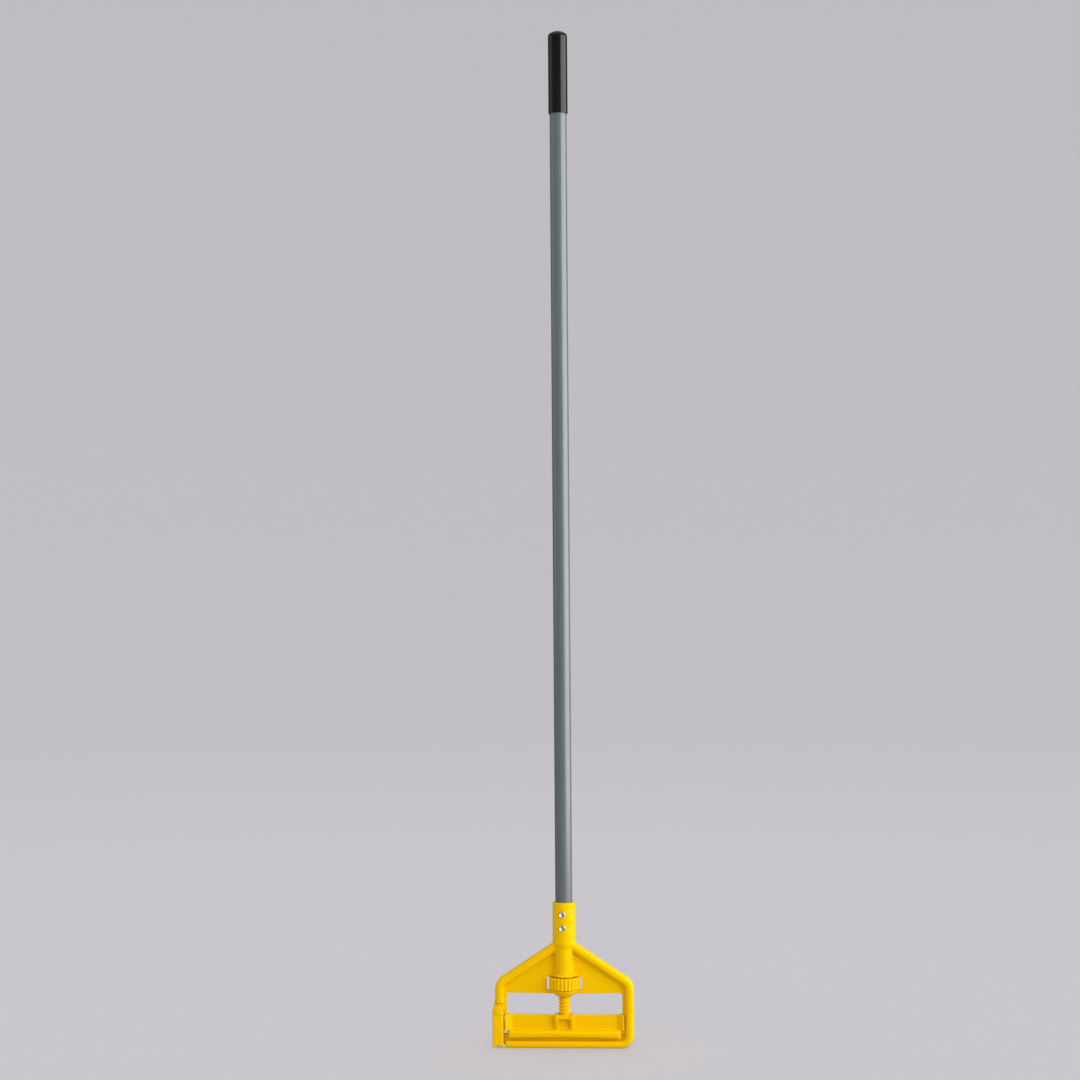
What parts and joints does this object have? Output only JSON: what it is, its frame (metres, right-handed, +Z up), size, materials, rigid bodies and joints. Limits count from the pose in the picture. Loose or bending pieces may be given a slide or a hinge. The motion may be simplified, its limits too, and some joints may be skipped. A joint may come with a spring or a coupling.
{
  "type": "side gate wet mop handle",
  "caption": "Long pole with a vinyl grip and a riveted plastic clamp head: a thumb wheel drives a threaded jaw onto a ribbed bar, and a side gate swings open to load a mop.",
  "frame": {"origin": "on the pole's axis, at the underside of the head's bottom bar", "axes": "+Z up along the pole towards the grip, -Y the riveted front, +X towards the closed side of the head, -X towards the gate"},
  "size_m": [0.212, 0.0454, 1.524],
  "materials": {
    "yellow_plastic": "satin injection-moulded plastic, fine moulding haze",
    "grey_fibreglass": "satin pultruded fibreglass with faint lengthwise streaks",
    "black_vinyl": "glossy dipped vinyl",
    "rivet_metal": "bright rolled head",
    "rivet_steel": "broken mandrel end"
  },
  "bodies": {
    "head": {"head_frame": "yellow_plastic", "pole_tube": "grey_fibreglass", "hand_grip": "black_vinyl", "rivet_bodies": "rivet_metal", "rivet_mandrels": "rivet_steel"},
    "wheel": {"thumb_wheel": "yellow_plastic"},
    "jaw": {"clamp_jaw": "yellow_plastic", "clamp_screw": "yellow_plastic"},
    "gate": {"side_gate": "yellow_plastic", "gate_pin": "yellow_plastic"}
  },
  "joints": [
    {"name": "wheel_turn", "type": "hinge", "parent": "head", "child": "wheel", "pos_m": [0, 0, 0.0964], "axis": [0, 0, 1], "range_deg": [-1800, 0]},
    {"name": "jaw_slide", "type": "slide", "parent": "head", "child": "jaw", "axis": [0, 0, 1], "range_m": [0, 0.025]},
    {"name": "gate_swing", "type": "hinge", "parent": "head", "child": "gate", "pos_m": [-0.1, 0, 0.0555], "axis": [0, 1, 0], "range_deg": [0, 100]}
  ],
  "couplings": [
    {"joint": "jaw_slide", "follows": "wheel_turn", "m_per_rad": -0.00079577}
  ]
}
